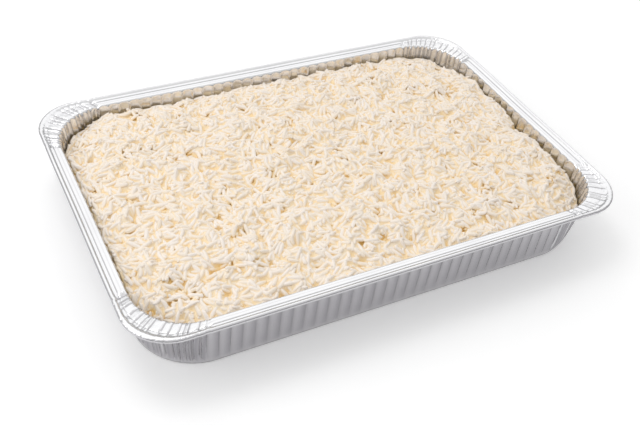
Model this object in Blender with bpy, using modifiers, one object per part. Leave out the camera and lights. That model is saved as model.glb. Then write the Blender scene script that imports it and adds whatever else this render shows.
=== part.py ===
"""Tray of steamed rice.

An oblong pleated foil tray, rim up, filled with a low heap of steamed long-grain rice.
Metres, +Z up. X runs along the tray, Y across it, and the origin is the middle of the underside.
"""

import math

import bmesh
import bpy
import numpy as np
from mathutils import Vector, noise

COLLECTION = "tray_of_steamed_rice"

# The tray's rim, corner to corner, and its height
RIM_LENGTH = 0.324
RIM_WIDTH = 0.224
HEIGHT = 0.0421
# The sheet stands for a foil of a tenth of a millimetre, thick enough here to be one sound solid
SHEET = 0.0005

# Flutes up the walls: their pitch and depth, and how many there are on each run
PITCH = 0.0075
FLUTE_DEPTH = 0.0011
LONG_FLUTES = 28
SHORT_FLUTES = 16
CORNER_FLUTES = 12

# The rim's cross-section, from the rolled bead inwards: inset from the rim's outer edge and drop below its top
BEAD = 0.0032
STRIP = (0.0044, 0.0009)
GROOVE = (0.0052, 0.0017)
LEDGE = (0.0095, 0.0014)
WALL_TOP = (0.0103, 0.0036)
WALL_FOOT = (0.0126, HEIGHT - 0.0016)
BASE_EDGE = (0.0142, HEIGHT)
# Corner radii: the rim's outer edge, the ledge's inner edge and the foot of the wall
RIM_RADIUS = 0.0282
LEDGE_RADIUS = 0.0330
FOOT_RADIUS = 0.0368

# The heap of rice: the clear gap to the foil, its crown below the rim's top, and how it falls away at the walls
GAP = 0.0004
HEAP_RADIUS = 0.0335
CROWN_DROP = 0.0032
EDGE_FALL = 0.0085
SHOULDER = 0.012
SHOULDER_RADIUS = 0.050
# Clumps of grains, and the bumps of single grains on them
CLUMP_SIZE = 0.024
CLUMP_RISE = 0.0024
GRAIN_SPACING = 0.0045
GRAIN_RISE = 0.0016
GRAIN_SHIFT = 0.0011
SEED = 7


def clear_scene():
    for obj in list(bpy.data.objects):
        bpy.data.objects.remove(obj, do_unlink=True)


def collection_for(name):
    collection = bpy.data.collections.new(name)
    bpy.context.scene.collection.children.link(collection)
    return collection


def material(name, colour, roughness, metallic):
    made = bpy.data.materials.new(name)
    made.use_nodes = True
    shader = made.node_tree.nodes["Principled BSDF"]
    shader.inputs["Base Color"].default_value = (*colour, 1.0)
    shader.inputs["Roughness"].default_value = roughness
    shader.inputs["Metallic"].default_value = metallic
    return made


def corner_run(first, radius, second, fractions):
    """Distances ahead and to the left, and the turn, at fractions of a straight, a quarter arc and a straight."""
    arc = radius * math.pi / 2
    along = fractions * (first + arc + second)
    turn = np.clip((along - first) / radius, 0, math.pi / 2)
    ahead = np.minimum(along, first) + radius * np.sin(turn)
    left = radius * (1 - np.cos(turn)) + np.maximum(along - first - arc, 0)
    return ahead, left, turn


def contour(inset, radius, steps):
    """Points and outward directions round a rounded rectangle, with this many steps to a flute.

    The flutes of a straight run stand at the same places whatever the inset, and those of a corner fan out.
    """
    halves = (RIM_WIDTH / 2 - inset, RIM_LENGTH / 2 - inset)
    flutes = (LONG_FLUTES, SHORT_FLUTES)
    corner_steps = np.arange(CORNER_FLUTES * steps) / (CORNER_FLUTES * steps)
    points, outward = [], []
    for side in range(4):
        out, far = halves[side % 2], halves[(side + 1) % 2]
        run, next_run = flutes[side % 2] * PITCH / 2, flutes[(side + 1) % 2] * PITCH / 2
        straight = np.arange(flutes[side % 2] * steps) * PITCH / steps - run
        ahead, left, turn = corner_run(far - radius - run, radius, out - radius - next_run, corner_steps)
        ahead = np.concatenate([straight, run + ahead])
        right = out - np.concatenate([np.zeros(len(straight)), left])
        turn = np.concatenate([np.zeros(len(straight)), turn]) + side * math.pi / 2
        heading = np.array([math.cos(side * math.pi / 2), math.sin(side * math.pi / 2)])
        across = np.array([heading[1], -heading[0]])
        points.append(ahead[:, None] * heading + right[:, None] * across)
        outward.append(np.stack([np.sin(turn), -np.cos(turn)], axis=1))
    return np.concatenate(points), np.concatenate(outward)


def ring(inset, drop, radius, steps=1, flute=0.0):
    """A contour as 3-D points, its odd points pushed out and its even points in by half a flute's depth."""
    points, outward = contour(inset, radius, steps)
    side = np.where(np.arange(len(points)) % 2, 0.5, -0.5) * flute
    height = np.full(len(points), HEIGHT - drop)
    return np.column_stack([points + side[:, None] * outward, height])


def join_rings(bm, lower, upper):
    """Faces between two closed rings, whose counts are the same or one twice the other."""
    count = max(len(lower), len(upper))
    low_step, high_step = count // len(lower), count // len(upper)
    for i in range(count):
        corners = [
            lower[i // low_step],
            lower[(i + 1) // low_step % len(lower)],
            upper[(i + 1) // high_step % len(upper)],
            upper[i // high_step],
        ]
        bm.faces.new(list(dict.fromkeys(corners)))


def foil_sections():
    """The rings of the sheet's under side, from the base up the wall, over the ledge and round the bead."""
    radius = BEAD / 2
    bead_sheet = radius - SHEET
    return [
        ring(*BASE_EDGE, FOOT_RADIUS),
        ring(*WALL_FOOT, FOOT_RADIUS, 2, FLUTE_DEPTH),
        ring(*WALL_TOP, LEDGE_RADIUS, 2, FLUTE_DEPTH),
        ring(*LEDGE, LEDGE_RADIUS),
        ring(*GROOVE, RIM_RADIUS),
        ring(*STRIP, RIM_RADIUS),
        ring(radius, SHEET, RIM_RADIUS),
        ring(SHEET, radius, RIM_RADIUS),
        ring(radius, radius + bead_sheet, RIM_RADIUS),
    ]


def object_from(bm, name, collection, slot):
    mesh = bpy.data.meshes.new(name)
    bm.to_mesh(mesh)
    bm.free()
    mesh.materials.append(slot)
    obj = bpy.data.objects.new(name, mesh)
    collection.objects.link(obj)
    return obj


def make_foil_tray(collection, slot):
    """The tray: one pleated sheet, lofted between unlike rounded rectangles, with its thickness grown inwards."""
    bm = bmesh.new()
    rings = [[bm.verts.new(point) for point in section] for section in foil_sections()]
    bm.faces.new(reversed(rings[0]))
    for lower, upper in zip(rings, rings[1:]):
        join_rings(bm, lower, upper)
    bmesh.ops.recalc_face_normals(bm, faces=bm.faces)
    if next(face for face in bm.faces if len(face.verts) > 4).normal.z > 0:
        bmesh.ops.reverse_faces(bm, faces=bm.faces)
    tray = object_from(bm, "foil_tray", collection, slot)
    sheet = tray.modifiers.new("sheet", "SOLIDIFY")
    sheet.thickness = SHEET
    sheet.offset = -1
    sheet.use_even_offset = True
    return tray


def into_rounded_rectangle(x, y, half_x, half_y, radius):
    """A point of a rectangle, moved so that the rectangle's corners become round."""
    over_x = max(abs(x) - (half_x - radius), 0) / radius
    over_y = max(abs(y) - (half_y - radius), 0) / radius
    if not (over_x and over_y):
        return x, y
    round_x = over_x * math.sqrt(1 - over_y * over_y / 2) * radius
    round_y = over_y * math.sqrt(1 - over_x * over_x / 2) * radius
    return (
        math.copysign(half_x - radius + round_x, x),
        math.copysign(half_y - radius + round_y, y),
    )


def depth_inside(x, y, half_x, half_y, radius):
    """How far a point lies inside a rounded rectangle. It is negative outside."""
    over_x = abs(x) - (half_x - radius)
    over_y = abs(y) - (half_y - radius)
    if over_x > 0 and over_y > 0:
        return radius - math.hypot(over_x, over_y)
    return radius - max(over_x, over_y)


def heap_height(x, y, half_x, half_y):
    """The rice's surface: a flat crown that falls away at the walls, most of all in the corners, with clumps on it."""
    depth = depth_inside(x, y, half_x, half_y, SHOULDER_RADIUS)
    fall = EDGE_FALL * math.exp(-depth / SHOULDER)
    clump = noise.fractal(Vector((x, y, 0)) / CLUMP_SIZE, 1.0, 2.0, 2) * CLUMP_RISE
    return HEIGHT - CROWN_DROP - fall + clump


def make_rice(collection, slot):
    """The heap: a grid bent to the tray's corners, raised to the heap's surface with grain-sized bumps."""
    clear_of_flutes = SHEET + FLUTE_DEPTH / 2 + GAP
    half_x = RIM_LENGTH / 2 - WALL_TOP[0] - clear_of_flutes
    half_y = RIM_WIDTH / 2 - WALL_TOP[0] - clear_of_flutes
    wall_lean = (WALL_FOOT[0] - WALL_TOP[0]) / (WALL_FOOT[1] - WALL_TOP[1])
    foot_inset = BASE_EDGE[0] - WALL_TOP[0] + GAP
    across_x, across_y = round(2 * half_x / GRAIN_SPACING), round(2 * half_y / GRAIN_SPACING)
    bm = bmesh.new()
    bmesh.ops.create_grid(bm, x_segments=across_x, y_segments=across_y, size=1.0)
    rim = [edge for edge in bm.edges if edge.is_boundary]
    on_rim = {vertex for edge in rim for vertex in edge.verts}
    draw = np.random.default_rng(SEED)
    for vertex in bm.verts:
        shift_x, shift_y, rise = draw.uniform(-1, 1, 3)
        x, y = vertex.co.x * half_x, vertex.co.y * half_y
        if vertex not in on_rim:
            x, y = x + shift_x * GRAIN_SHIFT, y + shift_y * GRAIN_SHIFT
        x, y = into_rounded_rectangle(x, y, half_x, half_y, HEAP_RADIUS)
        height = heap_height(x, y, half_x, half_y) + rise * GRAIN_RISE
        lean = wall_lean * (HEIGHT - height)
        vertex.co = (x * (1 - lean / half_x), y * (1 - lean / half_y), height)
    bmesh.ops.triangulate(bm, faces=bm.faces, quad_method="SHORT_EDGE")
    skirt = bmesh.ops.extrude_edge_only(bm, edges=rim)["geom"]
    foot = [item for item in skirt if isinstance(item, bmesh.types.BMVert)]
    for vertex in foot:
        vertex.co.x *= 1 - foot_inset / half_x
        vertex.co.y *= 1 - foot_inset / half_y
        vertex.co.z = SHEET + GAP
    bmesh.ops.holes_fill(bm, edges=[edge for edge in bm.edges if edge.is_boundary])
    bmesh.ops.recalc_face_normals(bm, faces=bm.faces)
    return object_from(bm, "rice", collection, slot)


def main():
    clear_scene()
    collection = collection_for(COLLECTION)
    foil = material("foil", (0.80, 0.80, 0.81), 0.28, 1.0)
    grain = material("steamed_rice", (0.88, 0.80, 0.66), 0.5, 0.0)
    make_foil_tray(collection, foil)
    make_rice(collection, grain)


main()
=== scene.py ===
# %% [markdown]
# # A foil tray of steamed rice
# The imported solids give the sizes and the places. This lesson makes the two things that show: a
# pleated foil tray with a rolled rim, and a heap of cooked long-grain rice made of separate grains.
# Everything is in metres, with the underside of the tray at height 0.

# %% Load the fixed frame
import itertools
import math

import bpy
import numpy as np
from mathutils import Matrix, Vector


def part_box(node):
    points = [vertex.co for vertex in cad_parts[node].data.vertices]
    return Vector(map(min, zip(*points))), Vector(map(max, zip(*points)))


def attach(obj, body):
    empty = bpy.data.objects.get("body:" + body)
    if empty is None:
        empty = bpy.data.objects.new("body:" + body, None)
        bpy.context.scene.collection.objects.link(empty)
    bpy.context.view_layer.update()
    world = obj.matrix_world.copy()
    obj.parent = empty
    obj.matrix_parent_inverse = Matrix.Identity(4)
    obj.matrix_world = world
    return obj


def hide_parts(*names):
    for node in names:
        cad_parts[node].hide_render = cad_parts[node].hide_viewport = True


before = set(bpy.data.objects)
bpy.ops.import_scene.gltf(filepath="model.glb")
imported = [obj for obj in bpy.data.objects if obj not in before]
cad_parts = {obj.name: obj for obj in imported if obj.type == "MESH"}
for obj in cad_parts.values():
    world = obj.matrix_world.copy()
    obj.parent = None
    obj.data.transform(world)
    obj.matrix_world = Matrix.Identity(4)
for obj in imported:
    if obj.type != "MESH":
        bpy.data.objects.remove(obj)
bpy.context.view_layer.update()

tray_low, tray_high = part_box("foil_tray")
RIM_LENGTH = tray_high.x - tray_low.x
RIM_WIDTH = tray_high.y - tray_low.y
HEIGHT = tray_high.z
print("tray", round(RIM_LENGTH, 4), "by", round(RIM_WIDTH, 4), "by", round(HEIGHT, 4))

# %% [markdown]
# ## Small tools
# Foil and rice are both uneven, so a smooth noise is needed early. It could come from Blender's own
# noise, one point at a time. Here it is worked out for whole arrays at once, which is far quicker.

# %% Smooth noise on arrays
NOISE_SIZE = 32


def lattice_noise(points, cell, seed):
    """Noise from -1 to 1: random values on a lattice, blended across each cell by 3f^2 - 2f^3."""
    table = np.random.default_rng(seed).uniform(-1, 1, (NOISE_SIZE,) * 3)
    place = np.asarray(points) / cell
    base = np.floor(place).astype(int)
    part = place - base
    part = part * part * (3 - 2 * part)
    total = np.zeros(place.shape[:-1])
    for corner in itertools.product((0, 1), repeat=3):
        weight = np.prod(np.where(corner, part, 1 - part), axis=-1)
        i, j, k = np.moveaxis((base + corner) % NOISE_SIZE, -1, 0)
        total += weight * table[i, j, k]
    return total


def smoothstep(low, high, value):
    """0 below low, 1 above high, and 3f^2 - 2f^3 between."""
    part = np.clip((value - low) / (high - low), 0, 1)
    return part * part * (3 - 2 * part)


print("noise at one point", lattice_noise([[0.01, 0.02, 0.03]], 0.01, 1).round(3))

# %% Meshes from arrays
def mesh_object(name, points, faces, attributes=None, smooth=True):
    """An object at the origin, from points and lists of face corners, with values kept on its points."""
    mesh = bpy.data.meshes.new(name)
    mesh.from_pydata(np.asarray(points, float).tolist(), [], faces)
    for key, values in (attributes or {}).items():
        values = np.asarray(values, np.float32)
        is_vector = values.shape[-1] == 3
        layer = mesh.attributes.new(key, "FLOAT_VECTOR" if is_vector else "FLOAT", "POINT")
        layer.data.foreach_set("vector" if is_vector else "value", values.ravel())
    mesh.polygons.foreach_set("use_smooth", np.full(len(mesh.polygons), smooth))
    mesh.validate()
    obj = bpy.data.objects.new(name, mesh)
    bpy.context.scene.collection.objects.link(obj)
    return obj


def band_faces(rows, columns, closed):
    """Four-sided faces of a grid of points. A closed one joins its last column to its first."""
    wide = columns if closed else columns - 1
    row, column = np.meshgrid(np.arange(rows - 1), np.arange(wide), indexing="ij")
    nearer = row * columns + column
    nearer_next = row * columns + (column + 1) % columns
    return np.stack([nearer, nearer_next, nearer_next + columns, nearer + columns], axis=-1).reshape(-1, 4)


# %% Shader arithmetic
class Value:
    """A shader socket that Python's operators can use: each one adds a Math node."""

    def __init__(self, nodes, socket):
        self.nodes = nodes
        self.socket = socket

    def math(self, operation, *others):
        """A Math node of this value and the others."""
        inputs = dict(enumerate((self, *others)))
        return self.nodes.node("ShaderNodeMath", {"operation": operation}, inputs)

    def __add__(self, other):
        return self.math("ADD", other)

    __radd__ = __add__

    def __mul__(self, other):
        return self.math("MULTIPLY", other)

    __rmul__ = __mul__

    def between(self, low, high):
        """This value's way from low to high, as 0 to 1 with a smooth step."""
        settings = {"interpolation_type": "SMOOTHSTEP"}
        inputs = {"Value": self, "From Min": low, "From Max": high}
        return self.nodes.node("ShaderNodeMapRange", settings, inputs)


class Nodes:
    """The nodes of a material or a world. node() adds any kind, from its settings and its inputs."""

    def __init__(self, owner, shader):
        owner.use_nodes = True
        self.tree = owner.node_tree
        self.shader = self.tree.nodes[shader]

    def node(self, kind, settings, inputs, output=0):
        """A new node: its settings are made first, then its inputs are set or linked. Gives one output."""
        made = self.tree.nodes.new(kind)
        for key, value in settings.items():
            setattr(made, key, value)
        for key, value in inputs.items():
            self.plug(made.inputs[key], value)
        return Value(self, made.outputs[output])

    def plug(self, socket, value):
        """Links a value to a socket, or sets the socket to a plain number or colour."""
        if isinstance(value, Value):
            self.tree.links.new(value.socket, socket)
        else:
            socket.default_value = value

    def set(self, **sockets):
        """Sets or links the shader's own sockets, their names written with _ for a space."""
        for key, value in sockets.items():
            self.plug(self.shader.inputs[key.replace("_", " ")], value)

    def mix(self, amount, first, second):
        """Two colours mixed by an amount from 0 to 1. They are the Mix node's inputs 6 and 7 and output 2."""
        as_colour = [c if isinstance(c, Value) else (*c, 1.0) for c in (first, second)]
        inputs = {0: amount, 6: as_colour[0], 7: as_colour[1]}
        return self.node("ShaderNodeMix", {"data_type": "RGBA"}, inputs, 2)

    def attribute(self, name):
        """A number kept on the mesh."""
        return self.node("ShaderNodeAttribute", {"attribute_name": name}, {}, "Fac")

    def coordinates(self, stretch=(1.0, 1.0, 1.0)):
        """Object coordinates, stretched along each axis."""
        place = self.node("ShaderNodeTexCoord", {}, {}, "Object")
        return self.node("ShaderNodeMapping", {}, {"Vector": place, "Scale": stretch})

    def noise(self, where, scale, detail=2.0, roughness=0.5):
        """A noise texture from 0 to 1, with this many cells to a metre."""
        inputs = {"Vector": where, "Scale": scale, "Detail": detail, "Roughness": roughness}
        return self.node("ShaderNodeTexNoise", {}, inputs)

    def bump(self, height, distance, strength=1.0, under=None):
        """A normal that a height from 0 to 1 tilts, over this distance in metres, on top of another one."""
        inputs = {"Height": height, "Distance": distance, "Strength": strength}
        if under is not None:
            inputs["Normal"] = under
        return self.node("ShaderNodeBump", {}, inputs)


class Finish(Nodes):
    """One material with a Principled shader."""

    def __init__(self, name):
        self.material = bpy.data.materials.new(name)
        super().__init__(self.material, "Principled BSDF")


# %% [markdown]
# ## The foil tray
# The real tray is one sheet of foil pressed over a block. Its straight walls are fluted, its corners
# are gathered into uneven pleats, and its rim is a flat ledge with a groove and a rolled bead. It
# could be a flat sheet that is folded by a simulation, but the press leaves such a regular shape that
# a grid is better: one way runs round the tray, flute by flute, and the other runs up the section.

# %% Cells round the tray
PITCH = 0.0075
LONG_FLUTES = 28
SHORT_FLUTES = 16
CORNER_PLEATS = 14
STEPS_IN_FLUTE = 6
STEPS_IN_PLEAT = 8
PLEAT_WIDTHS = (0.5, 1.5)
LEDGE_INSET = 0.0098
LEDGE_RADIUS = 0.0330
straight_half = (LONG_FLUTES * PITCH / 2, SHORT_FLUTES * PITCH / 2)
ledge_half = (RIM_WIDTH / 2 - LEDGE_INSET, RIM_LENGTH / 2 - LEDGE_INSET)


def corner_widths(side, draw):
    """Widths of one corner's cells at the ledge: flutes up to the bend, uneven pleats, then flutes."""
    lead = ledge_half[(side + 1) % 2] - LEDGE_RADIUS - straight_half[side % 2]
    tail = ledge_half[side % 2] - LEDGE_RADIUS - straight_half[(side + 1) % 2]
    leads, tails = round(lead / PITCH), round(tail / PITCH)
    pleats = draw.uniform(*PLEAT_WIDTHS, CORNER_PLEATS)
    pleats *= LEDGE_RADIUS * math.pi / 2 / pleats.sum()
    widths = np.concatenate([np.full(leads, lead / leads), pleats, np.full(tails, tail / tails)])
    is_pleat = np.concatenate([np.zeros(leads), np.ones(CORNER_PLEATS), np.zeros(tails)])
    return widths, is_pleat


def tray_cells(draw):
    """Arrays with an entry for each sample round the tray, cell by cell along its sides and corners."""
    found = {key: [] for key in ("side", "in_corner", "along", "fraction", "phase", "pleat", "cell")}
    count = 0
    for side in range(4):
        flutes = (LONG_FLUTES, SHORT_FLUTES)[side % 2]
        step = np.arange(flutes * STEPS_IN_FLUTE) / STEPS_IN_FLUTE
        widths, is_pleat = corner_widths(side, draw)
        edges = np.concatenate([[0], np.cumsum(widths)]) / widths.sum()
        bend = np.arange(len(widths) * STEPS_IN_PLEAT) / STEPS_IN_PLEAT
        which = bend.astype(int)
        zeros, ones = np.zeros(len(step)), np.ones(len(bend))
        found["side"].append(np.concatenate([zeros, ones * 0]) + side)
        found["in_corner"].append(np.concatenate([zeros, ones]))
        found["along"].append(np.concatenate([step * PITCH - straight_half[side % 2], ones * 0]))
        found["fraction"].append(np.concatenate([zeros, np.interp(bend, np.arange(len(edges)), edges)]))
        found["phase"].append(np.concatenate([step % 1, bend % 1]))
        found["pleat"].append(np.concatenate([zeros, is_pleat[which]]))
        found["cell"].append(np.concatenate([step.astype(int) + count, which + count + flutes]))
        count += flutes + len(widths)
    cells = {key: np.concatenate(parts) for key, parts in found.items()}
    cells["cell"] = cells["cell"].astype(int)
    return cells, count


foil_draw = np.random.default_rng(11)
cells, cell_count = tray_cells(foil_draw)
print(cell_count, "cells and", len(cells["side"]), "samples round the tray")


# %% A rounded rectangle of any inset
def contour(inset, radius, cells):
    """Points and outward directions of rounded rectangles: insets and radii are rows, samples are columns.

    On a straight run a sample keeps its place whatever the inset. Round a corner it keeps its share of
    the length of a straight, a quarter arc and a straight, so that the pleats fan out.
    """
    inset, radius = np.asarray(inset)[:, None], np.asarray(radius)[:, None]
    odd = (cells["side"] % 2 == 1)[None]
    out = np.where(odd, RIM_LENGTH, RIM_WIDTH) / 2 - inset
    far = np.where(odd, RIM_WIDTH, RIM_LENGTH) / 2 - inset
    run = np.where(odd, straight_half[1], straight_half[0])
    next_run = np.where(odd, straight_half[0], straight_half[1])
    first, second, arc = far - radius - run, out - radius - next_run, radius * math.pi / 2
    gone = cells["fraction"][None] * (first + arc + second)
    turn = np.clip((gone - first) / radius, 0, math.pi / 2) * cells["in_corner"]
    ahead = run + np.minimum(gone, first) + radius * np.sin(turn)
    ahead = np.where(cells["in_corner"] > 0, ahead, cells["along"][None])
    inward = radius * (1 - np.cos(turn)) + np.maximum(gone - first - arc, 0)
    right = out - inward * cells["in_corner"]
    heading = cells["side"][None] * math.pi / 2
    x = ahead * np.cos(heading) + right * np.sin(heading)
    y = ahead * np.sin(heading) - right * np.cos(heading)
    outward = np.stack([np.sin(turn + heading), -np.cos(turn + heading)], axis=-1)
    return np.stack([x, y], axis=-1), outward


# %% [markdown]
# The section of the sheet is a short list of stations, each an inset from the rim's outer edge, a drop
# below its top and a corner radius, in millimetres. The bead is an arc. How far the flutes and the
# ledge's pleats reach is a smooth step of the inset and the drop, so a flute fades out at the ledge.

# %% The section, from the middle of the base to the curl of the bead
MM = 0.001
BEAD_RADIUS = 1.5
BEAD_STEPS = 10
BASE_LIFT = 0.15
BASE_DROP = HEIGHT / MM - BASE_LIFT
WALL_FOOT_INSET = 12.7
WALL_FOOT_DROP = 40
WALL_LEAN = 0.066
RIM_CORNER, LEDGE_CORNER, FOOT_CORNER = 28.2, 33.0, 36.8
base_part = [
    (36.0, BASE_DROP, 24.0), (20.0, BASE_DROP, 32.0), (15.2, BASE_DROP, 35.8),
    (13.8, BASE_DROP - 0.15, 36.6), (13.0, BASE_DROP - 0.8, FOOT_CORNER),
]
wall_drops = np.array([39.4, 36.5, 32.5, 28.5, 24.0, 19.5, 15.0, 11.0, 8.0, 6.2, 4.9, 3.9])
wall_part = np.stack([
    WALL_FOOT_INSET - (WALL_FOOT_DROP - wall_drops) * WALL_LEAN,
    wall_drops,
    np.interp(wall_drops, [4, WALL_FOOT_DROP], [LEDGE_CORNER, FOOT_CORNER]),
], axis=1)
ledge_profile = np.array([
    (10.2, 2.9), (9.95, 2.1), (9.6, 1.62), (9.1, 1.42), (8.3, 1.36), (7.65, 1.34),
    (7.4, 1.38), (7.15, 1.34), (6.3, 1.32), (5.5, 1.32), (5.3, 1.4), (5.15, 1.52),
    (5.0, 1.32), (4.85, 1.16), (4.4, 1.1), (3.7, 1.06), (3.05, 1.0),
])
ledge_corners = np.interp(ledge_profile[:, 0], [5.2, 9.8], [RIM_CORNER, LEDGE_CORNER])
ledge_part = np.column_stack([ledge_profile, ledge_corners])
bead_turns = np.radians(np.linspace(-56, 200, BEAD_STEPS))
bead_part = np.stack([
    BEAD_RADIUS * (1 - np.sin(bead_turns)),
    BEAD_RADIUS * (1 - np.cos(bead_turns)),
    np.full(BEAD_STEPS, RIM_CORNER),
], axis=1)
stations = np.concatenate([base_part, wall_part, ledge_part, bead_part])
inset, drop, corner_radius = (stations * MM).T
print(len(stations), "stations up the section")

# %% How far each kind of relief reaches along the section
above_base = BASE_DROP * MM - drop
below_ledge = smoothstep(0.0014, 0.0038, drop) * smoothstep(0.0090, 0.0099, inset)
flute_reach = below_ledge * smoothstep(0.0008, 0.0070, above_base)
ledge_reach = smoothstep(0.0104, 0.0096, inset) * smoothstep(0.0028, 0.0040, inset)
bead_reach = smoothstep(0.0042, 0.0027, inset)
print("flutes reach", int((flute_reach > 0.5).sum()), "stations")
print("the ledge's pleats reach", int((ledge_reach > 0.5).sum()), "stations")

# %% [markdown]
# Three kinds of relief make the foil. Flutes and pleats push the wall in and out, wedges lift the
# ledge round the corners, and the bead is pinched where two wedges meet. Random dents would do for
# the rest, but foil that is gathered breaks into creases, so the noise there is folded with an abs.

# %% Sizes of the relief
FLUTE_DEPTH = 0.0012
FLUTE_FULLNESS = 2.4
PLEAT_DEPTH = 0.0019
PLEAT_AMOUNTS = (0.55, 1.35)
PLEAT_CRESTS = (0.3, 0.7)
LEDGE_PLEAT = 0.0006
LEDGE_CREST = 0.75
LEDGE_STEP = 0.0003
DENT = 0.0004
CRUMPLE = 0.00035
LEDGE_CRUMPLE = 0.35 * CRUMPLE
WANDER = 0.0006
PINCH = 0.00025
PINCH_SHARE = 0.14
PINCH_AT_KINK = 0.8
KINK_DROP = 0.0006
RIPPLE_OUT, RIPPLE_UP = 0.00015, 0.0001


def ring_blur(values, width):
    """A running mean over this many samples, round the closed ring."""
    wide = np.concatenate([values[-width:], values, values[:width]])
    return np.convolve(wide, np.ones(width) / width, "same")[width:-width]


def crest(phase, peak):
    """A straight climb from -1/2 to 1/2 at the peak's phase, and a straight fall back to -1/2."""
    return np.where(phase < peak, phase / peak, (1 - phase) / (1 - peak)) - 0.5


def bell(distance, width):
    """e^-(distance / width)^2, which is 1 where the distance is nothing."""
    return np.exp(-(distance / width) ** 2)


print("a crest's middle", crest(np.array([0.5]), LEDGE_CREST).round(3))

# %% Painted shade kept on the sheet for its finish
LINE_SHARE, WEDGE_LINE_SHARE = 0.13, 0.09
GROOVE_INSET, STEP_INSET, GROOVE_WIDTH = 0.00515, 0.0074, 0.00025


def sheet_marks(phase, pleat, folded):
    """How high a point lies in its flute or pleat, and how near it is to a dark line, both from 0 to 1,
    used only as painted shade.

    The first paints each flute or pleat from light to dark. Lines run between the cells, as a bell of
    the distance to the nearer one. The grooves round the ledge are bells of the inset, and the foot of
    the wall is a line as well: all of them are painted shade.
    """
    fold_shade = np.where(pleat > 0, folded + 0.5, phase) * flute_reach[:, None]
    to_line = np.minimum(phase, 1 - phase)
    on_wall = bell(to_line, LINE_SHARE) * (0.45 + 0.55 * pleat) * flute_reach[:, None]
    on_ledge = bell(to_line, WEDGE_LINE_SHARE) * pleat * ledge_reach[:, None]
    # A painted line of contact shadow along the foot of the wall.
    foot = 0.8 * smoothstep(0.0012, 0.0004, above_base)[:, None]
    # Painted shade in the grooves round the ledge.
    groove = bell(inset[:, None] - GROOVE_INSET, GROOVE_WIDTH) * (1 - pleat)
    groove += 0.4 * bell(inset[:, None] - STEP_INSET, GROOVE_WIDTH) * (1 - pleat)
    return fold_shade, np.maximum(np.maximum(on_wall + on_ledge, foot), 0.6 * groove)


print("a mark on a groove", bell(0.0, GROOVE_WIDTH))


# %% The sheet in relief
def sheet_points(cells, draw):
    """The foil's upper side as (stations, samples, 3), and the values kept on its points.

    A flute bulges out as 1 - |2t - 1|^2.4 of its phase t, between two sharp lines. A pleat rises in a
    straight line to a crest and falls again. On the ledge it goes up and down instead: it climbs over
    three quarters of its width and drops over the last quarter. The bead is pinched where two pleats
    meet, and smooth noise dents the walls and crumples the corners.
    """
    flat, outward = contour(inset, corner_radius, cells)
    phase, pleat, which = cells["phase"], cells["pleat"], cells["cell"]
    amount = draw.uniform(*PLEAT_AMOUNTS, cell_count)[which]
    folded = crest(phase, draw.uniform(*PLEAT_CRESTS, cell_count)[which])
    rounded = 1 - np.abs(2 * phase - 1) ** FLUTE_FULLNESS - 0.5
    gathered = ring_blur(pleat, 9)
    meeting = np.clip(1 - np.minimum(phase, 1 - phase) / PINCH_SHARE, 0, 1) * pleat
    kink = ring_blur(np.abs(pleat - np.roll(pleat, 1)), 3) * 3

    level = HEIGHT - drop[:, None, None]
    rough = np.concatenate([flat, np.broadcast_to(level, flat.shape[:2] + (1,))], axis=-1)
    dents = lattice_noise(rough, 0.034, 3)
    creases = 1 - 2 * np.abs(lattice_noise(rough, 0.0042, 4))
    wander = lattice_noise(rough * (1, 1, 0.5), 0.009, 5)
    ripple = (ledge_reach + bead_reach)[:, None] * lattice_noise(rough, 0.05, 6)

    flutes = (1 - pleat) * FLUTE_DEPTH * rounded + pleat * PLEAT_DEPTH * amount * folded
    push = flute_reach[:, None] * (flutes + DENT * dents + CRUMPLE * gathered * creases)
    push -= bead_reach[:, None] * PINCH * (meeting * amount + PINCH_AT_KINK * kink)
    push += RIPPLE_OUT * ripple
    wedges = LEDGE_PLEAT * pleat * amount * crest(phase, LEDGE_CREST) - LEDGE_STEP * gathered
    rise = ledge_reach[:, None] * (wedges + LEDGE_CRUMPLE * gathered * creases - KINK_DROP * kink)
    rise += RIPPLE_UP * ripple
    slide = flute_reach[:, None] * gathered * WANDER * wander
    along = np.stack([-outward[..., 1], outward[..., 0]], axis=-1)
    flat = flat + push[..., None] * outward + slide[..., None] * along
    points = np.concatenate([flat, level + rise[..., None]], axis=-1)

    fold_shade, crease_shade = sheet_marks(phase, pleat, folded)
    level_outward = np.concatenate([outward, np.zeros(outward.shape[:2] + (1,))], axis=-1)
    kept = {
        "gathered": np.broadcast_to(gathered, crease_shade.shape),
        "fold_shade": fold_shade,
        "crease_shade": crease_shade,
        "outward": level_outward.reshape(-1, 3),
    }
    return points, kept


sheet, sheet_kept = sheet_points(cells, foil_draw)
print("sheet of", sheet.shape[0], "by", sheet.shape[1], "points")

# %% [markdown]
# The sheet's innermost ring closes with one flat face, which is the middle of the base. The gauge could
# be a second grid, but Solidify does it: it grows the thickness on the side that the faces look away
# from, so the rice's side stays where it was worked out, and it closes the edge inside the bead.

# %% The foil as one closed shell
FOIL = 0.00012
samples = sheet.shape[1]
sheet_faces = band_faces(len(stations), samples, True)[:, ::-1].tolist()
sheet_faces.append(list(range(samples)))
foil_tray = mesh_object("foil_sheet", sheet.reshape(-1, 3), sheet_faces, sheet_kept)
gauge = foil_tray.modifiers.new("gauge", "SOLIDIFY")
gauge.thickness = FOIL
gauge.offset = -1
print("foil faces", len(foil_tray.data.polygons))
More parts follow.
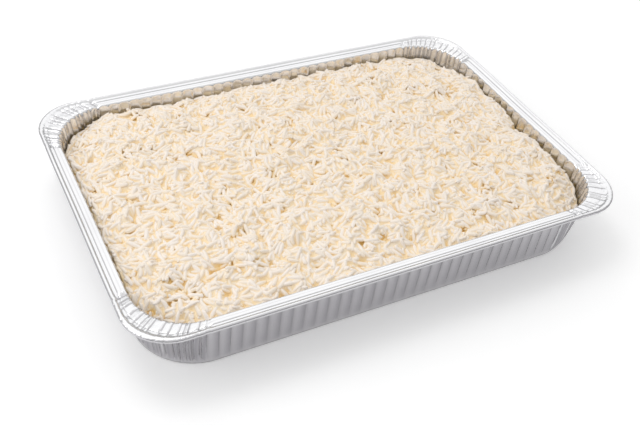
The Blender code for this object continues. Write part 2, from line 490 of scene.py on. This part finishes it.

# %% [markdown]
# Foil is bright metal with fine lines from the rolling mill and small wrinkles where it was gathered.
# The lines are a noise that is stretched along the tray, and the wrinkles are a bump that grows with
# the "gathered" value kept on the mesh. The shade is painted into the colour: the outside of the walls
# is painted greyer than the inside, as painted shade for the dim floor that it mirrors, each flute and
# pleat is painted from light to dark across its width, and creases, grooves and the foot are painted
# dark lines of shade. Two materials could do the outside, but one that compares a face's normal with
# the outward direction kept on it is simpler.

# %% Foil finish
# Greys of painted shade: the outside of the walls, the dark side of each flute or pleat, and the dark lines
# in creases, grooves and at the foot.
SHADED_FOIL_GREY, FOLD_SHADE_GREY, CREASE_SHADE_GREY = (0.60, 0.59, 0.61), (0.36, 0.35, 0.375), (0.30, 0.285, 0.30)
foil = Finish("foil")
mill_lines = foil.noise(foil.coordinates((12.0, 900.0, 900.0)), 1.0, 2.0)
wrinkles = foil.noise(foil.coordinates(), 420.0, 3.0, 0.6)
smudges = foil.noise(foil.coordinates(), 38.0, 2.0)
gather = foil.attribute("gathered")
fine = foil.bump(mill_lines, 0.00002, 0.5)
crinkle = foil.bump(wrinkles * (gather * 0.9 + 0.1), 0.00035, 0.6, fine)
# Faces that look the way of the kept outward direction get the outside's painted shade.
normal = foil.node("ShaderNodeNewGeometry", {}, {}, "Normal")
outward = foil.node("ShaderNodeAttribute", {"attribute_name": "outward"}, {}, "Vector")
facing = foil.node("ShaderNodeVectorMath", {"operation": "DOT_PRODUCT"}, {0: normal, 1: outward}, "Value")
bright = foil.mix(smudges.between(0.35, 0.7), (0.95, 0.95, 0.96), (0.91, 0.91, 0.925))
# Painted shade from light to dark across each flute or pleat: slight on the inside, strong on the outside.
fold_shade = foil.attribute("fold_shade")
inner = foil.mix(fold_shade * 0.2, bright, SHADED_FOIL_GREY)
outside_shade = foil.mix(fold_shade, SHADED_FOIL_GREY, FOLD_SHADE_GREY)
sided_shade = foil.mix(facing.between(0.35, 0.8), inner, outside_shade)
# The base colour carries the painted shade: the outside is greyer, and creases, grooves and the foot go
# towards the darkest grey.
foil.set(
    Metallic=1.0,
    Base_Color=foil.mix(foil.attribute("crease_shade") * 0.75, sided_shade, CREASE_SHADE_GREY),
    Roughness=smudges * 0.10 + 0.17,
    Normal=crinkle,
)
foil_tray.data.materials.append(foil.material)
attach(foil_tray, "root")
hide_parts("foil_tray")
print("foil finish has", len(foil.tree.nodes), "nodes")

# %% [markdown]
# ## The heap of rice
# The solid heap gives the level: its bumps are averaged into a map of heights, so the grains end up
# where the solid is. Under the grains lies a core, a little lower, that closes the gaps. The grains
# could be scattered flat and pushed apart by a simulation. Dropping them one by one on a map of the
# heights so far gives the same loose, crossed layers in seconds.

# %% The solid heap's level as a map
RASTER = 0.006
TOP_SHARE = 0.25
rice_low, rice_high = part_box("rice")
node_points = np.empty(len(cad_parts["rice"].data.vertices) * 3, np.float32)
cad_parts["rice"].data.vertices.foreach_get("co", node_points)
node_points = node_points.reshape(-1, 3)
top_points = node_points[node_points[:, 2] > TOP_SHARE * HEIGHT]
map_low = np.array([rice_low.x, rice_low.y]) - RASTER
map_high = np.array([rice_high.x, rice_high.y]) + RASTER
map_shape = tuple(int(n) for n in (map_high - map_low) // RASTER + 2)


def box_blur(grid, times=1):
    """The mean of each cell and its eight neighbours, done this many times."""
    for _ in range(times):
        wide = np.pad(grid, 1, mode="edge")
        rows = wide[:-2] + wide[1:-1] + wide[2:]
        grid = (rows[:, :-2] + rows[:, 1:-1] + rows[:, 2:]) / 9
    return grid


def averaged_map():
    """Mean height of the solid's top in each square, with empty squares filled from their neighbours."""
    cell = tuple(((top_points[:, :2] - map_low) / RASTER).astype(int).T)
    total, count = np.zeros(map_shape), np.zeros(map_shape)
    np.add.at(total, cell, top_points[:, 2])
    np.add.at(count, cell, 1.0)
    for _ in range(6):
        spread_total, spread_count = box_blur(total), box_blur(count)
        empty = count < 0.5
        total = np.where(empty, spread_total * 9, total)
        count = np.where(empty, spread_count * 9, count)
    return total / np.maximum(count, 1e-9)


def sampled(grid, low, cell, x, y):
    """A map's height at any points, blended between the four nearest cell centres."""
    place_x = np.clip((x - low[0]) / cell - 0.5, 0, grid.shape[0] - 1.001)
    place_y = np.clip((y - low[1]) / cell - 0.5, 0, grid.shape[1] - 1.001)
    i, j = place_x.astype(int), place_y.astype(int)
    u, v = place_x - i, place_y - j
    near = grid[i, j] * (1 - u) + grid[i + 1, j] * u
    far = grid[i, j + 1] * (1 - u) + grid[i + 1, j + 1] * u
    return near * (1 - v) + far * v


solid_level = averaged_map()
print("solid heap from", solid_level.min().round(4), "to", solid_level.max().round(4))

# %% Room inside the walls
WALL_ROOM = 0.0118
HEAP_RADIUS = 0.0345


def depth_inside(x, y):
    """How far points lie inside the wall's rounded rectangle. It is negative outside."""
    over_x = np.abs(x) - (RIM_LENGTH / 2 - WALL_ROOM - HEAP_RADIUS)
    over_y = np.abs(y) - (RIM_WIDTH / 2 - WALL_ROOM - HEAP_RADIUS)
    round_part = HEAP_RADIUS - np.hypot(np.maximum(over_x, 0), np.maximum(over_y, 0))
    return np.where((over_x > 0) & (over_y > 0), round_part, HEAP_RADIUS - np.maximum(over_x, over_y))


# %% The level the grains rise to
START_DROP = 0.0034
EDGE_ROOM = 0.0003
WALL_LIFT = 0.0028
LIFT_REACH = 0.010
CLUMP_RISE, FINE_CLUMP_RISE = 0.0038, 0.0013
half_x, half_y = RIM_LENGTH / 2 - WALL_ROOM - EDGE_ROOM, RIM_WIDTH / 2 - WALL_ROOM - EDGE_ROOM


def clump_relief(x, y):
    """Lumps of sticky grains, in metres: |n|^0.6 - 0.45 of a coarse noise n, and a finer noise."""
    flat = np.stack([x, y, np.zeros_like(x)], axis=-1)
    coarse = np.abs(lattice_noise(flat, 0.0105, 21)) ** 0.6 - 0.45
    return CLUMP_RISE * coarse + FINE_CLUMP_RISE * lattice_noise(flat, 0.006, 22)


def wanted_level(x, y):
    """The solid's level with the clumps on it, lifted by e^(-depth / reach) along the walls."""
    lift = WALL_LIFT * np.exp(-np.maximum(depth_inside(x, y), 0) / LIFT_REACH)
    return sampled(solid_level, map_low, RASTER, x, y) + lift + clump_relief(x, y)


print("level wanted at the middle", wanted_level(np.zeros(1), np.zeros(1)).round(4))

# %% [markdown]
# Each grain is dropped with a random heading near the one its neighbours share, and rests on what
# lies high under it. Its tilt follows what its ends touch, so it lies across the grains below, and a
# few stay upright. It takes the lowest of a few random places, which ends the layer at the level. The
# map that they land on starts a little under that level, with a ragged edge along the wall.

# %% The map of heights that grains land on
FIELD_CELL = 0.0007
FIELD_EDGE = 0.004
RAGGED = 0.0018
SWIRL = 3.0
field_low = np.array([-half_x, -half_y]) - FIELD_EDGE
field_shape = tuple(int(n) for n in -2 * field_low / FIELD_CELL + 1)
field_x, field_y = np.meshgrid(
    field_low[0] + np.arange(field_shape[0]) * FIELD_CELL,
    field_low[1] + np.arange(field_shape[1]) * FIELD_CELL,
    indexing="ij",
)
wanted = wanted_level(field_x, field_y)
field_flat = np.stack([field_x, field_y, 0 * field_x], axis=-1)
ragged = 0.0006 + RAGGED * lattice_noise(field_flat, 0.0045, 23)
field = wanted - START_DROP * smoothstep(-0.0015, 0.0028, depth_inside(field_x, field_y) + ragged)
swirl = SWIRL * lattice_noise(field_flat, 0.012, 31)


def field_cell(x, y):
    """The map cells that points fall in."""
    i = ((x - field_low[0]) / FIELD_CELL + 0.5).astype(int)
    j = ((y - field_low[1]) / FIELD_CELL + 0.5).astype(int)
    return np.clip(i, 0, field_shape[0] - 1), np.clip(j, 0, field_shape[1] - 1)


print("height map of", field_shape, "cells")

# %% Sizes of the grains, and the points that stand for one in the map
MOST_GRAINS = 12200
MOST_MISSES = 12000
PLACES_TRIED = 4
GRAIN_LENGTH = 0.0084
GRAIN_WIDTH = 0.0024
SINK = 0.0012
STICKY = 72
WALL_GAP = 0.0005
UPRIGHT_SHARE = 0.13
MOST_PROUD = 0.0026
LEAST_SHORT = 0.0002
LENGTHS, WIDTHS = (0.78, 1.2), (0.88, 1.14)
HEADING_SPREAD, HEADING_TRIES = 0.8, 8
LYING_REACH, UPRIGHT_REACH = 0.5, 0.22
ENDS_APART, SLOPE_TAKEN = 0.72, 0.85
UPRIGHT_TILTS, UPRIGHT_SUNK = (0.6, 1.3), (0.14, 0.28)
MOST_TILT, TILT_SPREAD = 0.85, 0.22
along, across = np.meshgrid(np.linspace(-0.92, 0.92, 13), np.linspace(-0.8, 0.8, 4))
along, across = along.ravel(), across.ravel()
belly = 0.42 * np.sqrt(1 - along**4) * np.sqrt(1 - across**2)
print(len(belly), "points stand for a grain, highest", belly.max().round(3), "of its width")


# %% Dropping the grains
def lowest_place(draw):
    """The place that is furthest below the wanted level, of a few random ones, and how far below it is."""
    x = draw.uniform(-half_x, half_x, PLACES_TRIED)
    y = draw.uniform(-half_y, half_y, PLACES_TRIED)
    i, j = field_cell(x, y)
    short = np.where(depth_inside(x, y) > WALL_GAP, wanted[i, j] - field[i, j], -1)
    best = short.argmax()
    return x[best], y[best], short[best]


def heading_inside(x, y, reach, draw):
    """A heading near the local swirl whose two ends stay off the wall, or None where all tries fail."""
    for _ in range(HEADING_TRIES):
        heading = swirl[field_cell(x, y)] + draw.normal(0, HEADING_SPREAD)
        ends_x = x + np.array([reach, -reach]) * math.cos(heading)
        ends_y = y + np.array([reach, -reach]) * math.sin(heading)
        if depth_inside(ends_x, ends_y).min() > WALL_GAP:
            return heading
    return None


def cells_under(x, y, heading, length, width):
    """The map cells under a grain's outline."""
    ahead, aside = along * length / 2, across * width / 2
    px = x + ahead * math.cos(heading) - aside * math.sin(heading)
    py = y + ahead * math.sin(heading) + aside * math.cos(heading)
    return field_cell(px, py)


def settle(x, y, length, width, draw):
    """One grain at rest, or None where it won't fit.

    A lying grain slopes from the highest ground under one end to that under the other. It is as high
    as most of ground + belly - slope * way along, and sinks in a little. An upright one stands on the
    mean of the ground.
    """
    upright = draw.random() < UPRIGHT_SHARE
    heading = heading_inside(x, y, length * (UPRIGHT_REACH if upright else LYING_REACH), draw)
    if heading is None:
        return None
    under = field[cells_under(x, y, heading, length, width)]
    if upright:
        tilt = draw.uniform(*UPRIGHT_TILTS) * draw.choice([-1, 1])
        z = under.mean() + length * abs(math.sin(tilt)) * draw.uniform(*UPRIGHT_SUNK)
    else:
        rise = under[along > 0.5].max() - under[along < -0.5].max()
        slope = math.atan(rise / (ENDS_APART * length)) * SLOPE_TAKEN
        tilt = float(np.clip(slope + draw.normal(0, TILT_SPREAD), -MOST_TILT, MOST_TILT))
        z = np.percentile(under + belly * width - along * length / 2 * math.tan(tilt), STICKY) - SINK
    cell = cells_under(x, y, heading, length * math.cos(tilt), width)
    top = z + along * length / 2 * math.sin(tilt) + belly * width
    if (top - wanted[cell]).max() > MOST_PROUD:
        return None
    field[cell] = np.maximum(field[cell], top)
    return x, y, z, heading, tilt, length, width


def drop_grains(draw):
    """Rows of x, y, z, heading, tilt, length and width, one for each grain that came to rest."""
    found, misses = [], 0
    while len(found) < MOST_GRAINS and misses < MOST_MISSES:
        x, y, short = lowest_place(draw)
        length = GRAIN_LENGTH * draw.uniform(*LENGTHS)
        width = GRAIN_WIDTH * draw.uniform(*WIDTHS)
        grain = settle(x, y, length, width, draw) if short > LEAST_SHORT else None
        if grain is None:
            misses += 1
        else:
            found.append(grain)
    return np.array(found)


rice_draw = np.random.default_rng(5)
grains = drop_grains(rice_draw)
inside = depth_inside(field_x, field_y) > 0.003
print(len(grains), "grains, mean level off by", (field - wanted)[inside].mean().round(4))

# %% [markdown]
# Cooked grains stick together, so the gaps between the top ones are shallow. A core that follows the
# landed grains, a little below their tops, closes those gaps. It dips deeper in a few places, which
# are the holes between clumps, and it runs down to the tray's base as one closed body.

# %% The core under the grains
CORE_CELL = 0.0008
CORE_DROP = 0.0006
HOLE_DEPTH = 0.0020
FOOT_INSET = 0.0042
FOOT_HEIGHT = 0.0006
CLUMP_HOLLOW = 0.0042
GRAIN_HOLLOW = 0.0022
grain_top = box_blur(field, 2)
clump_top = box_blur(field, 30)


def rounded_corners(x, y, radius):
    """Points of the rectangle, moved so that its corners are round: p becomes p sqrt(1 - q^2 / 2) there."""
    over_x = np.maximum(np.abs(x) - (half_x - radius), 0) / radius
    over_y = np.maximum(np.abs(y) - (half_y - radius), 0) / radius
    round_x = half_x - radius + over_x * np.sqrt(1 - over_y**2 / 2) * radius
    round_y = half_y - radius + over_y * np.sqrt(1 - over_x**2 / 2) * radius
    corner = (over_x > 0) & (over_y > 0)
    return np.where(corner, np.copysign(round_x, x), x), np.where(corner, np.copysign(round_y, y), y)


def hollow_of(points):
    """How deep points lie, 0 to 1, which sets the painted shade: 0.5 of their depth under the grains' tops,
    as a share of GRAIN_HOLLOW, and 0.95 of it under the clumps' tops, as a share of CLUMP_HOLLOW.
    """
    cell = field_cell(points[..., 0], points[..., 1])
    fine = (grain_top[cell] - points[..., 2]) / GRAIN_HOLLOW
    coarse = (clump_top[cell] - points[..., 2]) / CLUMP_HOLLOW
    return np.clip(0.5 * fine + 0.95 * coarse, 0, 1)


columns_x, columns_y = round(2 * half_x / CORE_CELL), round(2 * half_y / CORE_CELL)
row_x, row_y = np.linspace(-half_x, half_x, columns_x), np.linspace(-half_y, half_y, columns_y)
core_x, core_y = rounded_corners(*np.meshgrid(row_x, row_y, indexing="ij"), HEAP_RADIUS)
core_flat = np.stack([core_x, core_y, 0 * core_x], axis=-1)
core_z = sampled(grain_top, field_low - FIELD_CELL / 2, FIELD_CELL, core_x, core_y) - CORE_DROP
core_z -= HOLE_DEPTH * smoothstep(0.5, 0.75, lattice_noise(core_flat, 0.0065, 24))
rim_index = np.arange(columns_x * columns_y).reshape(columns_x, columns_y)
rim_sides = (rim_index[:, 0], rim_index[-1, 1:], rim_index[-2::-1, -1], rim_index[0, -2:0:-1])
rim_loop = np.concatenate(rim_sides)
core_top = np.stack([core_x, core_y, core_z], axis=-1).reshape(-1, 3)
drawn_in = (1 - FOOT_INSET / half_x, 1 - FOOT_INSET / half_y, 0)
core_foot = core_top[rim_loop] * drawn_in + (0, 0, FOOT_HEIGHT)
top_faces = band_faces(columns_x, columns_y, False)[:, ::-1]
foot_index = len(core_top) + np.arange(len(rim_loop))
skirt = np.stack([rim_loop, foot_index, np.roll(foot_index, -1), np.roll(rim_loop, -1)], axis=1)
core_faces = top_faces.tolist() + skirt.tolist() + [foot_index[::-1].tolist()]
core_points = np.concatenate([core_top, core_foot])
core = mesh_object("rice_core", core_points, core_faces, {"hollow_shade": hollow_of(core_points)})
print("core of", len(core.data.polygons), "faces, top", core_z.max().round(4))

# %% [markdown]
# A cooked grain is a bent spindle with blunt ends, a little flat, and swollen unevenly along its
# length. One grain with a subdivision surface would be smoother, but there are thousands, so five
# rings of eight points and two tips stand for one, and all of them are worked out as one array. A
# round underside would shade the gap below it, and soft grains settle on each other, so a grain that
# lies has a flat underside, as a loaf has, and only a steep one is round.

# %% The rings of a grain
SIDES = 8
ring_place = np.array([-0.88, -0.52, 0.0, 0.52, 0.88])
ring_girth = np.array([0.66, 0.95, 1.0, 0.95, 0.66])
RINGS = len(ring_place)
place = np.append(np.repeat(ring_place, SIDES), [-1.0, 1.0])
turn = np.append(np.tile(np.arange(SIDES) * 2 * math.pi / SIDES, RINGS), [0.0, 0.0])
low_side = np.sin(turn) < -0.1
loaf_wide = np.where(low_side, 1.05 * np.sign(np.round(np.cos(turn), 3)), np.cos(turn))
loaf_high = np.where(low_side, -1.0, np.sin(turn))
ring, ring_next = np.arange(SIDES), (np.arange(SIDES) + 1) % SIDES
start_tip, end_tip, last_ring = RINGS * SIDES, RINGS * SIDES + 1, (RINGS - 1) * SIDES
start_fan = np.stack([np.full(SIDES, start_tip), ring_next, ring], axis=1)
end_fan = np.stack([np.full(SIDES, end_tip), last_ring + ring, last_ring + ring_next], axis=1)
side_faces = band_faces(RINGS, SIDES, True)
print("a grain has", len(place), "points and", 2 * len(side_faces) + 2 * SIDES, "triangles")

# %% Grain shapes
SWELL = 0.12
BEND = 0.07
FLATNESSES = (0.74, 0.92)


def grain_points(grains, draw):
    """Points of all grains, as (grains, points of one, 3).

    At its place s along the spine, from -1 to 1, a ring is as wide as its girth times its swell, and
    lower than it is wide. The spine bends sideways and up by b (0.4 - s^2).
    """
    x, y, z, heading, tilt, length, width = (column[:, None] for column in grains.T)
    count = len(grains)
    swell = 1 + draw.uniform(-SWELL, SWELL, (count, RINGS))
    girth = np.hstack([np.repeat(swell * ring_girth, SIDES, axis=1), np.zeros((count, 2))])
    bend = draw.normal(0, BEND, (count, 1)) * length
    bend_turn = draw.uniform(0, math.pi, (count, 1))
    flatness = draw.uniform(*FLATNESSES, (count, 1))
    arch = bend * (0.4 - place**2)
    ahead = place * length / 2
    round_part = smoothstep(0.35, 0.75, np.abs(tilt))
    wide = np.cos(turn) * round_part + loaf_wide * (1 - round_part)
    high = np.sin(turn) * round_part + loaf_high * (1 - round_part)
    aside = girth * width / 2 * wide + arch * np.cos(bend_turn)
    above = girth * width / 2 * high * flatness + 0.4 * arch * np.sin(bend_turn)
    level = ahead * np.cos(tilt) - above * np.sin(tilt)
    return np.stack([
        x + level * np.cos(heading) - aside * np.sin(heading),
        y + level * np.sin(heading) + aside * np.cos(heading),
        z + ahead * np.sin(tilt) + above * np.cos(tilt),
    ], axis=-1)


# %% Grains joined into pieces
LAYERS = ("grains_lowest", "grains_low", "grains_middle", "grains_high", "grains_top")


def grain_piece(name, chosen, draw):
    """One mesh of the chosen grains, with how deep each point lies, for its painted shade, and a tint for
    each grain.
    """
    points = grain_points(chosen, draw)
    first = (np.arange(len(chosen)) * len(place))[:, None, None]
    faces = []
    for kind in (side_faces, start_fan, end_fan):
        faces += (kind[None] + first).reshape(-1, kind.shape[1]).tolist()
    kept = {
        "hollow_shade": hollow_of(points),
        "tint": np.repeat(draw.uniform(0, 1, len(chosen)), len(place)),
    }
    return mesh_object(name, points.reshape(-1, 3), faces, kept)


rice_pieces = []
for name, chosen in zip(LAYERS, np.array_split(grains, len(LAYERS))):
    rice_pieces.append(grain_piece(name, chosen, rice_draw))
    print(name, len(chosen), "grains")

# %% [markdown]
# Cooked rice is cream white on top and honey coloured in the gaps, because light that goes through
# several grains loses its blue. Subsurface scattering could do that, but on grains this small it
# turns grey and noisy. So that warm shade is painted: the depth kept on the mesh paints the flanks of
# the grains and the gaps honey, each grain has a tint of its own, and the colours are so pale that
# light bounces deep into the gaps.

# %% Rice finish
# Cream and white are the grains' own tints; the honey is painted shade with depth.
CREAM, WHITE = (0.975, 0.868, 0.735), (0.985, 0.91, 0.84)
HONEY_SHADE, PALE = (0.985, 0.735, 0.30), (0.98, 0.89, 0.80)
rice = Finish("steamed_rice")
mottle = rice.noise(rice.coordinates(), 300.0, 2.0)
lit = rice.mix(rice.attribute("tint"), CREAM, WHITE)
shaded = rice.mix(rice.attribute("hollow_shade"), lit, HONEY_SHADE)
rice.set(
    Base_Color=rice.mix(mottle * 0.15, shaded, PALE),
    Roughness=mottle * 0.2 + 0.42,
    Specular_IOR_Level=0.3,
    Normal=rice.bump(rice.noise(rice.coordinates(), 900.0, 2.0), 0.0002, 0.2),
)
for piece in rice_pieces:
    piece.data.materials.append(rice.material)
print("rice finish has", len(rice.tree.nodes), "nodes")

# %% Core finish
# The core gets the same painted honey shade, deeper where it lies lower.
DEEP_CREAM, DEEP_HONEY_SHADE = (0.98, 0.86, 0.69), (0.985, 0.71, 0.28)
deep = Finish("deep_rice")
deep_mottle = deep.noise(deep.coordinates(), 330.0, 3.0)
deep.set(
    Base_Color=deep.mix(deep.attribute("hollow_shade"), DEEP_CREAM, DEEP_HONEY_SHADE),
    Roughness=deep_mottle * 0.2 + 0.4,
    Normal=deep.bump(deep_mottle, 0.0006, 0.7),
)
core.data.materials.append(deep.material)
for piece in [core, *rice_pieces]:
    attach(piece, "root")
    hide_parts("rice")
print(len(rice_pieces) + 1, "pieces stand for the heap")

# %% [markdown]
# ## The studio
# The picture is a product shot on a white table, with a soft shadow on the near right. One soft light
# hangs high over the far left and a broad one low on the left. Foil shows what is round it, so the
# white room matters as much: it is dim at the floor, and brightest in a high band beyond the tray,
# which the flat rim mirrors to the camera. The floor is far wider than the view and glows a little.

# %% Floor
FLOOR_HALF = 3.0
FLOOR_GAP = 0.0002
corners = np.array([(-1, -1, 0), (1, -1, 0), (1, 1, 0), (-1, 1, 0)]) * FLOOR_HALF - (0, 0, FLOOR_GAP)
floor = mesh_object("floor", corners, [[0, 1, 2, 3]], smooth=False)
paper = Finish("floor_paper")
paper_grain = paper.noise(paper.coordinates(), 60.0, 2.0)
paper.set(
    Base_Color=paper.mix(paper_grain, (0.975, 0.975, 0.975), (0.985, 0.985, 0.985)),
    Roughness=0.75,
    Emission_Color=(1.0, 1.0, 1.0, 1.0),
    Emission_Strength=0.185,
)
floor.data.materials.append(paper.material)
print("floor", 2 * FLOOR_HALF, "m wide")

# %% Light
world = bpy.data.worlds.new("white_room")
room = Nodes(world, "Background")
towards = room.node("ShaderNodeTexCoord", {}, {}, "Generated")
x_part, y_part, height = (room.node("ShaderNodeSeparateXYZ", {}, {0: towards}, part) for part in "XYZ")
beyond = (x_part * 0.5 + y_part * 0.85).between(0.25, 0.55) * height.between(0.24, 0.36)
sky = height.between(0.0, 0.36) * 0.40 + height.between(0.36, 0.50) * 0.20 + 0.12
room.set(Color=(1.0, 1.0, 1.0, 1.0), Strength=sky + beyond * 0.33)
bpy.context.scene.world = world


def soft_box(name, place, size, power):
    """A square area light at a place, facing the tray."""
    lamp = bpy.data.lights.new(name, "AREA")
    lamp.size = size
    lamp.energy = power
    holder = bpy.data.objects.new(name, lamp)
    holder.location = place
    holder.rotation_euler = (-Vector(place)).to_track_quat("-Z", "Y").to_euler()
    bpy.context.scene.collection.objects.link(holder)
    return holder


soft_box("key_light", (-0.30, 0.30, 1.2), 0.5, 2.1)
soft_box("fill_light", (-0.95, 0.05, 0.55), 0.8, 2.2)
print("lights", [lamp.name for lamp in bpy.data.lights])

# %% [markdown]
# The camera stands on the near left and looks down by 41 degrees, and is rolled by six. Its focal
# length is given in pixels of the picture's width, so it is turned into millimetres of the sensor.

# %% Camera
AZIMUTH, ELEVATION, ROLL = (math.radians(angle) for angle in (-30.405, 41.035, 6.039))
DISTANCE = 0.5338
LOOKS_AT = Vector((-0.028443, -0.050304, HEIGHT))
SENSOR = 36.0
IMAGE_WIDTH = 640
FOCAL_PIXELS = 894.86
back = Vector((
    math.sin(AZIMUTH) * math.cos(ELEVATION),
    -math.cos(AZIMUTH) * math.cos(ELEVATION),
    math.sin(ELEVATION),
))
level_right = Vector((math.cos(AZIMUTH), math.sin(AZIMUTH), 0))
level_up = back.cross(level_right)
right = level_right * math.cos(ROLL) + level_up * math.sin(ROLL)
up = level_up * math.cos(ROLL) - level_right * math.sin(ROLL)
camera = bpy.data.objects.new("camera", bpy.data.cameras.new("camera"))
camera.data.sensor_width = SENSOR
camera.data.lens = SENSOR * FOCAL_PIXELS / IMAGE_WIDTH
camera.data.clip_start = 0.01
facing_tray = Matrix((right, up, back)).transposed().to_4x4()
camera.matrix_world = Matrix.Translation(LOOKS_AT + back * DISTANCE) @ facing_tray
bpy.context.scene.collection.objects.link(camera)
bpy.context.scene.camera = camera
bpy.context.scene.view_settings.view_transform = "Standard"
print("camera at", [round(value, 4) for value in camera.matrix_world.translation])
